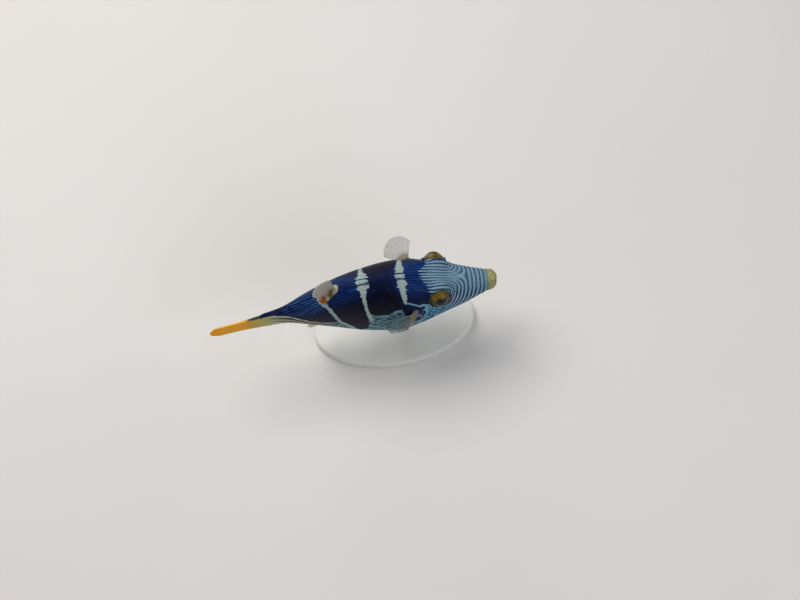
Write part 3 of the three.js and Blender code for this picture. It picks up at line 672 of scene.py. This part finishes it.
def skin_material():
    p = Paint("puffer_skin")
    chart_at = p.field("chart", vector=True)
    place = p.place()
    across, along, under = p.field("across"), p.field("along"), p.field("under")
    streak = p.noise(p.stretch(chart_at, 0.22, 2.3, 1), 1.0, 3.0, 0.6)
    fine_streak = p.noise(p.stretch(chart_at, 0.45, 5.5, 1), 1.0, 2.0, 0.6)
    blotch = p.noise(place, 0.5, 3.0, 0.55)
    grain = p.noise(place, 2.6, 3.0, 0.6)
    fray = p.plus(p.centred(streak, 3.4), p.centred(fine_streak, 1.6))
    on_back = p.step(across, 5.5, 2.0)

    # Saddles, with thin bluish lines along the body.
    dark = p.mix(p.field("deep"), rgb(4, 28, 80), rgb(3, 3, 24))
    run = p.math("SINE", p.plus(p.times(across, 9.0), p.times(streak, 7.0)))
    run = p.times(p.step(run, 0.2, 0.85), p.step(fine_streak, 0.36, 0.54))
    run = p.times(run, p.step(across, 9.0, 4.0))
    run = p.times(run, p.step(p.field("deep"), 0.75, 0.2))
    tail_run = p.step(along, 46.0, 50.0)
    upper = p.mix(p.times(run, 0.7), dark, rgb(28, 80, 146))
    upper = p.mix(p.times(p.times(run, tail_run), 0.6), upper, rgb(70, 118, 158))
    saddle = p.mix(p.times(p.step(blotch, 0.5, 0.72), 0.25), upper, rgb(8, 32, 78))

    # Below the saddles: a pale net over dark ovals that turns to fine brown spots on a white belly.
    net_edge = p.cells(p.stretch(chart_at, 0.5, 0.9, 1), 1.0, "DISTANCE_TO_EDGE")
    net_edge = p.plus(net_edge, p.centred(grain, 0.12))
    flank_dark = p.mix(p.step(blotch, 0.4, 0.62), rgb(8, 38, 52), rgb(34, 76, 84))
    flank_pale = p.mix(grain, rgb(84, 124, 136), rgb(134, 164, 170))
    flank = p.mix(p.step(net_edge, 0.26, 0.18), flank_dark, rgb(54, 98, 106))
    flank = p.mix(p.step(net_edge, 0.12, 0.06), flank, flank_pale)
    spot_size = p.plus(0.2, p.times(blotch, 0.22))
    spots = p.step(p.minus(p.cells(place, 0.85), spot_size), 0.06, -0.02)
    belly_ground = p.mix(blotch, rgb(214, 218, 214), rgb(184, 194, 186))
    belly_skin = p.mix(p.times(spots, 0.7), belly_ground, rgb(136, 108, 62))
    belly_share = p.step(p.plus(under, p.centred(blotch, 0.5)), 0.3, 0.66)
    low_skin = p.mix(belly_share, flank, belly_skin)

    # Under the tail's dark top: a cream line, dark and cream lines below it, and a paler green root.
    ripple = p.noise(p.stretch(chart_at, 0.22, 0.6, 1), 1.0, 2.0, 0.5)
    edge_depth = p.plus(p.field("low"), p.centred(ripple, 1.6))
    lines_below = p.math("COSINE", p.times(p.minus(edge_depth, 0.35), math.pi))
    stalk_paint = p.mix(grain, rgb(150, 152, 130), rgb(186, 186, 160))
    stalk_dark = p.mix(p.step(along, 57.5, 62.5), rgb(12, 18, 24), rgb(112, 126, 96))
    stalk_skin = p.mix(p.step(lines_below, -0.1, 0.5), stalk_dark, stalk_paint)
    stalk_skin = p.mix(p.step(edge_depth, 3.4, 5.6), stalk_skin, belly_skin)
    stalk_skin = p.mix(p.step(along, 61.0, 65.0), stalk_skin, rgb(176, 168, 98))
    low_skin = p.mix(p.step(along, 43.0, 49.0), low_skin, stalk_skin)
    body = p.mix(p.step(edge_depth, -0.12, 0.12), saddle, low_skin)

    # Pale bars with combed edges, crossed by dark lines on the ridge of the back.
    bar_paint = p.mix(p.step(grain, 0.3, 0.7), rgb(126, 146, 148), rgb(172, 188, 180))
    comb = p.centred(p.noise(p.stretch(chart_at, 0.3, 1.25, 1), 1.0, 2.0, 0.7), 4.6)
    comb = p.times(p.plus(comb, fray), p.plus(0.2, p.times(on_back, 0.3)))
    bar_edge = p.minus(p.plus(p.field("bars"), comb), 0.12)
    ridge = p.math("ABSOLUTE", p.minus(across, p.times(streak, 1.5)))
    ridge_dark = p.times(p.step(ridge, 0.36, 0.14), 0.9)
    bar_share = p.times(p.step(bar_edge, -0.08, 0.16), p.minus(1.0, ridge_dark))
    body = p.mix(bar_share, body, bar_paint)

    # The head: pale lines round the eyes and across the snout, which run out into the first saddle.
    head_depth = p.plus(p.field("head"), p.times(fray, 0.75))
    wobble = p.centred(p.noise(chart_at, 0.8, 2.0, 0.5), 0.42)
    wave = p.math("COSINE", p.times(p.plus(p.field("phase"), wobble), 2 * math.pi))
    on_top = p.step(across, 5.5, 1.5)
    line_dark = p.mix(on_top, rgb(10, 52, 84), rgb(66, 98, 118))
    line_dark = p.mix(p.step(head_depth, 2.6, 0.8), line_dark, saddle)
    line_pale = p.mix(p.step(grain, 0.25, 0.75), rgb(104, 138, 160), rgb(142, 168, 184))
    line_share = p.step(p.plus(wave, p.centred(grain, 0.5)), -0.35, 0.4)
    lines = p.mix(line_share, line_dark, line_pale)
    lines = p.mix(p.times(p.field("meeting"), 0.7), lines, rgb(112, 144, 164))

    # The cheek's net, the throat, the spot in front of the gill opening and the light line round it.
    cheek_edge = p.cells(p.stretch(chart_at, 0.62, 0.95, 1), 1.0, "DISTANCE_TO_EDGE")
    cheek_net = p.step(p.plus(cheek_edge, p.centred(grain, 0.04)), 0.1, 0.045)
    cheek_dark = p.mix(p.step(blotch, 0.4, 0.6), rgb(2, 50, 82), rgb(10, 84, 108))
    cheek_skin = p.mix(cheek_net, cheek_dark, rgb(104, 158, 186))
    below_eye = p.step(p.plus(across, p.centred(blotch, 2.0)), 9.0, 10.6)
    lines = p.mix(p.times(below_eye, p.step(along, 13.0, 15.5)), lines, cheek_skin)
    throat = p.mix(p.times(spots, 0.5), rgb(190, 200, 198), rgb(116, 116, 84))
    lines = p.mix(p.step(p.plus(under, p.centred(blotch, 0.3)), 0.5, 0.85), lines, throat)
    body = p.mix(p.step(head_depth, -0.2, 0.3), body, lines)
    body = p.mix(p.times(p.field("gill_spot"), 0.75), body, rgb(104, 112, 168))
    cheek_mark = p.step(p.plus(p.field("cheek"), p.centred(grain, 0.3)), -0.08, 0.12)
    body = p.mix(cheek_mark, body, rgb(112, 158, 188))

    # Fin roots, eyelids, painted shade in the gill openings and nostril holes, lips and mouth.
    share = p.plus(p.field("dorsal_share"), p.centred(grain, 0.25))
    root_paint = p.mix(p.step(share, 0.1, 0.35), rgb(172, 164, 136), rgb(104, 96, 32))
    root_paint = p.mix(p.step(share, 0.5, 0.62), root_paint, rgb(172, 164, 140))
    root_paint = p.mix(p.step(share, 0.72, 0.86), root_paint, rgb(150, 92, 34))
    root_share = p.step(p.plus(p.field("dorsal_root"), p.centred(grain, 0.25)), 0.3, 0.55)
    body = p.mix(root_share, body, root_paint)
    body = p.mix(p.times(p.step(p.field("anal_root"), 0.35, 0.8), 0.7), body, rgb(188, 168, 118))
    body = p.mix(p.times(p.step(p.field("pectoral_root"), 0.35, 0.9), 0.6), body, rgb(140, 138, 128))
    lid_paint = p.mix(grain, rgb(18, 26, 22), rgb(66, 60, 24))
    body = p.mix(p.times(p.step(p.field("lid"), 0.55, 0.95), 0.85), body, lid_paint)
    # Painted shade: near-black paint in the gill slits and nostril holes.
    body = p.mix(p.times(p.field("recess_shade"), 0.85), body, rgb(10, 14, 24))
    lips = p.plus(p.field("lips"), p.centred(p.noise(place, 0.9, 3.0, 0.6), 0.7))
    body = p.mix(p.step(lips, 0.05, 0.6), body, rgb(98, 130, 124))
    lip_paint = p.mix(p.step(p.noise(place, 1.1, 4.0, 0.6), 0.35, 0.65), rgb(132, 128, 92), rgb(172, 164, 108))
    body = p.mix(p.step(lips, 0.45, 0.95), body, lip_paint)
    body = p.mix(p.field("inside"), body, rgb(52, 24, 22))

    prickles = p.step(p.cells(place, 3.2), 0.42, 0.05)
    relief = p.bump(p.noise(place, 1.3, 4.0, 0.6), 0.00006, 0.7)
    relief = p.bump(prickles, 0.00004, 0.7, relief)
    rough = p.plus(0.42, p.times(grain, 0.2))
    return p.finish(Base_Color=body, Roughness=rough, Normal=relief, Specular_IOR_Level=0.08)


# The eye's rings: distances from its axis, in millimetres.
PUPIL, PUPIL_CORE, IRIS_OUTER, IRIS_INNER = 1.24, 1.08, 1.75, 1.15


def eye_material():
    p = Paint("puffer_eye")
    ring = p.field("ring")
    around = p.field("around", vector=True)
    threads = p.noise(p.stretch(around, 9, 9, 1.2), 1.0, 4.0, 0.65)
    flecks = p.noise(p.stretch(around, 3.5, 3.5, 2.2), 1.0, 3.0, 0.6)
    upper = p.step(p.plus(p.field("up"), p.centred(flecks, 0.8)), -0.3, 0.8)
    dark_iris = p.mix(p.step(threads, 0.38, 0.66), rgb(14, 20, 12), rgb(38, 42, 22))
    gold_iris = p.mix(p.step(threads, 0.38, 0.66), rgb(72, 58, 12), rgb(134, 104, 26))
    iris = p.mix(upper, dark_iris, gold_iris)
    iris = p.mix(p.times(p.step(flecks, 0.52, 0.7), 0.5), iris, rgb(30, 54, 46))
    iris = p.mix(p.step(ring, IRIS_OUTER, IRIS_INNER), iris, rgb(26, 28, 16))
    gold = p.step(p.math("ABSOLUTE", p.minus(ring, PUPIL)), 0.08, 0.03)
    iris = p.mix(p.times(gold, 0.3), iris, rgb(96, 78, 32))
    edge = p.plus(ring, p.centred(threads, 0.14))
    colour = p.mix(p.step(edge, PUPIL, PUPIL_CORE), iris, rgb(6, 12, 16))
    relief = p.bump(threads, 0.00004, 0.5)
    return p.finish(
        Base_Color=colour, Roughness=0.35, Normal=relief, Coat_Weight=0.3, Coat_Roughness=0.05, Specular_IOR_Level=0.12,
    )


def teeth_material():
    p = Paint("puffer_teeth")
    place = p.place()
    growth = p.noise(p.stretch(place, 5, 1.5, 1.5), 1.0, 3.0, 0.6)
    colour = p.mix(growth, rgb(236, 228, 206), rgb(206, 192, 156))
    relief = p.bump(growth, 0.00004, 0.5)
    return p.finish(Base_Color=colour, Roughness=0.24, Normal=relief, Coat_Weight=0.4, Coat_Roughness=0.1)


def fin_material(name, clear, membrane, rays, edge, root, tints=()):
    """A fin, from the colours of its parts. clear is how much light the membrane lets through.

    Each tint is a place across the fan, its half width, how far out it reaches, and a colour.
    """
    p = Paint(name)
    ray, out, fan = p.field("ray"), p.field("out"), p.field("fan")
    place = p.place()
    mottle = p.noise(place, 1.1, 4.0, 0.6)
    far_out = p.plus(out, p.centred(mottle, 0.2))
    colour = p.mix(p.step(ray, 0.2, 0.8), p.mix(mottle, membrane, edge), rays)
    colour = p.mix(p.step(far_out, 0.42, 0.14), colour, root)
    colour = p.mix(p.step(far_out, 0.8, 1.0), colour, edge)
    solid = p.math("MAXIMUM", p.times(p.step(ray, 0.1, 0.7), 0.6), p.step(out, 0.24, 0.08))
    for middle, half, reach, paint in tints:
        aside = p.math("ABSOLUTE", p.minus(fan, middle))
        beside = p.step(p.plus(aside, p.centred(mottle, 0.1)), half, half * 0.5)
        mark = p.times(beside, p.step(far_out, reach, reach * 0.6))
        colour = p.mix(mark, colour, paint)
        solid = p.math("MAXIMUM", solid, mark)
    joints = p.times(p.math("SINE", p.times(out, 2 * math.pi * RAY_JOINTS)), ray)
    relief = p.bump(p.plus(joints, mottle), 0.00003, 0.6)
    alpha = p.plus(1.0 - clear, p.times(solid, clear))
    return p.finish(
        Base_Color=colour, Roughness=0.4, Normal=relief, Alpha=alpha, Specular_IOR_Level=0.3,
        Subsurface_Weight=0.2, Subsurface_Scale=0.0006,
    )


def base_material():
    p = Paint("stand_base")
    place = p.place()
    speck = p.noise(place, 3.5, 4.0, 0.7)
    cloud = p.noise(place, 0.09, 3.0, 0.5)
    colour = p.mix(p.times(cloud, 0.8), rgb(232, 231, 226), rgb(214, 212, 206))
    colour = p.mix(p.times(p.step(speck, 0.62, 0.74), 0.25), colour, rgb(176, 172, 164))
    rough = p.plus(0.5, p.times(speck, 0.2))
    return p.finish(Base_Color=colour, Roughness=rough, Normal=p.bump(speck, 0.00005, 0.5))


def rod_material():
    p = Paint("stand_rod")
    place = p.place()
    brushed = p.noise(p.stretch(place, 6, 6, 0.35), 1.0, 3.0, 0.7)
    colour = p.mix(brushed, rgb(188, 190, 194), rgb(226, 226, 228))
    rough = p.plus(0.22, p.times(brushed, 0.2))
    return p.finish(Base_Color=colour, Metallic=1.0, Roughness=rough, Normal=p.bump(brushed, 0.00003, 0.4))


def dress(obj, material, slot, *nodes):
    obj.data.materials.clear()
    obj.data.materials.append(material)
    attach(obj, "root")
    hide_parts(*nodes)


dress(skin, skin_material(), "saddle_skin", "upper_lip", "lower_lip", "snout", "head", "trunk", "tail_stalk")

# Eyes: a ball that swells into a low dome over the pupil. Angles are degrees from the eye's axis.
DOME_RISE, DOME_FLAT, DOME_EDGE = 0.2, 12, 40
EYE_FRONT, EYE_FRONT_ROWS, EYE_REAR_ROWS, EYE_COLUMNS = 75, 90, 30, 96
UPPER_FADE = 1.5


def build_eye(side, name):
    look = eye_look(side)
    first = unit(np.cross(look, [0, 0, 1.0]))
    second = np.cross(look, first)
    front, rear = np.linspace(0, EYE_FRONT, EYE_FRONT_ROWS), np.linspace(EYE_FRONT + 3, 180, EYE_REAR_ROWS)
    degrees = np.concatenate([front, rear])[:, None]
    turns = np.linspace(0, 2 * math.pi, EYE_COLUMNS, endpoint=False)[None]
    reach = EYE_RADIUS + DOME_RISE * (1 - smoothstep(degrees, DOME_FLAT, DOME_EDGE))
    wide, ahead = reach * np.sin(np.radians(degrees)), reach * np.cos(np.radians(degrees))
    sideways = np.cos(turns)[..., None] * first + np.sin(turns)[..., None] * second
    ball = wide[..., None] * sideways + ahead[..., None] * look
    ring = np.where(degrees > 90, EYE_RADIUS, wide) + 0 * turns
    around = np.stack([np.cos(turns) + 0 * ring, np.sin(turns) + 0 * ring, ring], -1)
    up = -np.sin(turns) * np.minimum(ring / UPPER_FADE, 1)
    fields = {"ring": ring, "around": around.reshape(-1, 3), "up": up}
    return recalculated(add_mesh(name, eye_centre(side) + ball, ring_faces(*ring.shape), fields))


eye_paint = eye_material()
dress(build_eye(1, "eye_left_ball"), eye_paint, "eye", "eye_left")
dress(build_eye(-1, "eye_right_ball"), eye_paint, "eye", "eye_right")

# Teeth: an upper and a lower plate, each a rounded beak with a notch at its middle.
TOOTH_HALF_WIDTH, TOOTH_BEHIND_TIP, TOOTH_DEPTH, TOOTH_HEIGHT, TOOTH_OFF_AXIS = 1.45, 0.8, 1.9, 0.52, 0.15
TOOTH_NOTCH, TOOTH_NOTCH_WIDTH, TOOTH_SWELL, TOOTH_REAR_WIDTH = 0.16, 0.1, 0.16, 0.97
TOOTH_COLUMNS, TOOTH_ROWS = 49, 9


def build_teeth(updown, name):
    turns = np.linspace(-1, 1, TOOTH_COLUMNS) * math.pi / 2
    level = np.linspace(0, 1, TOOTH_ROWS)[:, None]
    edge_y = TOOTH_HALF_WIDTH * np.sin(turns)
    edge_x = np.cos(turns) - 1 - TOOTH_NOTCH * bell(edge_y, TOOTH_NOTCH_WIDTH)
    front_x = SNOUT_TIP_X - TOOTH_BEHIND_TIP
    outer_x = front_x + edge_x - TOOTH_SWELL * (1 - level) ** 2
    outer = np.stack(np.broadcast_arrays(outer_x, edge_y, level), -1)
    inner = outer * (1, TOOTH_REAR_WIDTH, 1)
    inner[..., 0] = front_x - TOOTH_DEPTH
    points = np.concatenate([outer, inner[::-1]])
    points[..., 2] = AXIS_HEIGHT + updown * (TOOTH_OFF_AXIS + points[..., 2] * TOOTH_HEIGHT)
    rows, columns = points.shape[:2]
    i, j = np.meshgrid(np.arange(rows), np.arange(columns - 1), indexing="ij")
    k = (i + 1) % rows
    quads = np.stack([i * columns + j, i * columns + j + 1, k * columns + j + 1, k * columns + j], -1).reshape(-1, 4)
    first_end = np.arange(rows) * columns
    return recalculated(add_mesh(name, points, quads), first_end, first_end[::-1] + columns - 1)


teeth_paint = teeth_material()
dress(build_teeth(1, "beak_upper"), teeth_paint, "teeth", "upper_teeth")
dress(build_teeth(-1, "beak_lower"), teeth_paint, "teeth", "lower_teeth")

# Fins.
left_paint = fin_material(
    "pectoral_left", clear=0.78,
    membrane=rgb(176, 178, 188), rays=rgb(206, 206, 204), edge=rgb(196, 192, 176), root=rgb(150, 140, 104),
)
right_paint = fin_material(
    "pectoral_right", clear=0.93,
    membrane=rgb(84, 118, 122), rays=rgb(116, 140, 140), edge=rgb(112, 138, 144), root=rgb(152, 148, 144),
    tints=[(0.1, 0.12, 0.34, rgb(124, 118, 40))],
)
anal_paint = fin_material(
    "anal_fin", clear=0.6,
    membrane=rgb(196, 194, 176), rays=rgb(196, 182, 128), edge=rgb(206, 204, 190), root=rgb(184, 160, 92),
)
dorsal_paint = fin_material(
    "dorsal_fin", clear=0.3,
    membrane=rgb(160, 158, 146), rays=rgb(172, 169, 156), edge=rgb(196, 194, 182), root=rgb(164, 156, 132),
    tints=[(0.3, 0.14, 0.3, rgb(104, 96, 32)), (0.85, 0.16, 0.36, rgb(150, 90, 32))],
)
tail_paint = fin_material(
    "tail_fin", clear=0.06,
    membrane=rgb(250, 184, 44), rays=rgb(250, 192, 64), edge=rgb(255, 166, 30), root=rgb(206, 196, 112),
    tints=[(0.0, 0.09, 0.42, rgb(26, 34, 48))],
)
dorsal = middle_fin(DORSAL_FROM, DORSAL_TO, 1, length=7.3, lead=6, trail=32, lean=7, turn=DORSAL_TURN)
anal = middle_fin(ANAL_FROM, ANAL_TO, -1, length=6.8, lead=10, trail=36, lean=5, turn=ANAL_TURN)
pectoral_left = pectoral(1, rise=12, fall=-10, upper_swing=106, lower_swing=36)
pectoral_right = pectoral(-1, rise=10, fall=-6, upper_swing=6, lower_swing=6)
# Each sheet's name, node, form, material and slot, then its rays, its thickness at the root and edge, and its wave.
SHEETS = [
    ("dorsal", "dorsal_fin", dorsal, dorsal_paint, "clear_fin", 9, 1.2, 0.4, 0.08),
    ("anal", "anal_fin", anal, anal_paint, "clear_fin", 9, 1.2, 0.4, 0.08),
    ("pectoral_left", "pectoral_fin_left", pectoral_left, left_paint, "clear_fin", 13, 1.0, 0.36, 0.08),
    ("pectoral_right", "pectoral_fin_right", pectoral_right, right_paint, "clear_fin", 13, 1.0, 0.36, 0.06),
    ("caudal", "caudal_fin", caudal, tail_paint, "yellow_fin", 11, 1.8, 0.55, 0.04),
]
for key, node, point_at, paint, slot, rays, thick, thin, wave in SHEETS:
    dress(fin_mesh(key + "_sheet", point_at, rays, thick, thin, wave), paint, slot, node)


# The stand.
def build_lathe(name, profile, sides, scale=(1.0, 1.0), centre=(0.0, 0.0)):
    """A turned form, in plan stretched by scale; the profile runs from the axis out and back to it."""
    turns = np.linspace(0, 2 * math.pi, sides, endpoint=False)
    ring = np.stack([np.cos(turns) * scale[0], np.sin(turns) * scale[1]], -1)
    rows = [np.column_stack([ring * r + centre, np.full(sides, h)]) for r, h in profile]
    return recalculated(add_mesh(name, np.array(rows), ring_faces(len(rows), sides)))


# The base's profile is in shares of its half length and width, and in millimetres of height.
BASE_HALF, BASE_HEIGHT, BASE_SIDES = (23.0, 12.5), 3.2, 160
BASE_ROUND, BASE_INSET = 0.8, 0.05
quarter = np.linspace(0, math.pi / 2, 14)
foot = [(0, 0), (0.6, 0), (0.985, 0), (0.996, 0.06), (1, 0.25)]
edge = [(1 - BASE_INSET * (1 - math.cos(q)), BASE_HEIGHT - BASE_ROUND * (1 - math.sin(q))) for q in quarter]
top = [(share, BASE_HEIGHT) for share in (0.9, 0.6, 0.3, 0)]
base = build_lathe("stand_foot", foot + edge + top, BASE_SIDES, scale=BASE_HALF)
dress(base, base_material(), "base", "stand_base")

ROD_X, ROD_RADIUS, ROD_FOOT, ROD_CHAMFER, ROD_SIDES = 1.5, 1.5, 3.5, 0.2, 64
rod_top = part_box("stand_rod")[1][2] * 1000
rod_side = [(ROD_RADIUS, h) for h in np.linspace(ROD_FOOT + 2 * ROD_CHAMFER, rod_top, 12)]
rod_foot = [(0, ROD_FOOT), (ROD_RADIUS - ROD_CHAMFER, ROD_FOOT), (ROD_RADIUS, ROD_FOOT + ROD_CHAMFER)]
rod = build_lathe("stand_pin", rod_foot + rod_side + [(0, rod_top)], ROD_SIDES, centre=(ROD_X, 0.0))
dress(rod, rod_material(), "rod", "stand_rod")


# Floor, light and camera.
def floor_material():
    p = Paint("floor")
    cloud = p.noise(p.place(), 0.01, 3.0, 0.5)
    colour = p.mix(cloud, rgb(222, 218, 214), rgb(232, 229, 226))
    relief = p.bump(p.noise(p.place(), 0.6, 3.0, 0.6), 0.0001, 0.2)
    return p.finish(Base_Color=colour, Roughness=0.75, Normal=relief)


FLOOR_HALF = 3000
floor_corners = [(x * FLOOR_HALF, y * FLOOR_HALF, 0) for x, y in ((-1, -1), (1, -1), (1, 1), (-1, 1))]
floor = add_mesh("floor", floor_corners, [(0, 1, 2, 3)], smooth=False)
floor.data.materials.append(floor_material())


def area_light(name, place, aim, size, power, colour):
    light = bpy.data.lights.new(name, "AREA")
    light.shape, light.size, light.energy, light.color = "DISK", size, power, colour
    obj = bpy.data.objects.new(name, light)
    bpy.context.scene.collection.objects.link(obj)
    obj.location = place
    obj.rotation_mode = "QUATERNION"
    obj.rotation_quaternion = (Vector(aim) - Vector(place)).to_track_quat("-Z", "Y")


area_light("key", (-0.18, 0.22, 0.5), (-0.01, 0, 0.02), size=0.35, power=1.9, colour=(1.0, 0.97, 0.93))
area_light("fill", (0.32, -0.35, 0.32), (0, 0, 0.02), size=0.4, power=0.85, colour=(0.93, 0.96, 1.0))
area_light("back", (-0.1, 0.5, 0.16), (0, 0, 0.03), size=0.3, power=0.5, colour=(1.0, 1.0, 1.0))
world = bpy.data.worlds.new("studio")
world.use_nodes = True
world.node_tree.nodes["Background"].inputs["Color"].default_value = (0.9, 0.93, 1.0, 1.0)
world.node_tree.nodes["Background"].inputs["Strength"].default_value = 0.3
bpy.context.scene.world = world
bpy.context.scene.view_settings.view_transform = "Standard"

CAMERA_AIM = np.array([2.7, -1.97, 26.67]) / 1000
ELEVATION, ROLL, DISTANCE = math.radians(71), math.radians(-9), 0.515
camera_data = bpy.data.cameras.new("camera")
camera_data.lens, camera_data.sensor_width = 85, 36
camera_data.clip_start, camera_data.clip_end = 0.02, 20
camera = bpy.data.objects.new("camera", camera_data)
bpy.context.scene.collection.objects.link(camera)
backward = np.array([0, -math.cos(ELEVATION), math.sin(ELEVATION)])
level = np.array([1.0, 0, 0])
upright = np.cross(backward, level)
right = level * math.cos(ROLL) + upright * math.sin(ROLL)
upward = -level * math.sin(ROLL) + upright * math.cos(ROLL)
pose = np.identity(4)
pose[:3] = np.column_stack([right, upward, backward, CAMERA_AIM + backward * DISTANCE])
camera.matrix_world = Matrix(pose.tolist())
bpy.context.scene.camera = camera
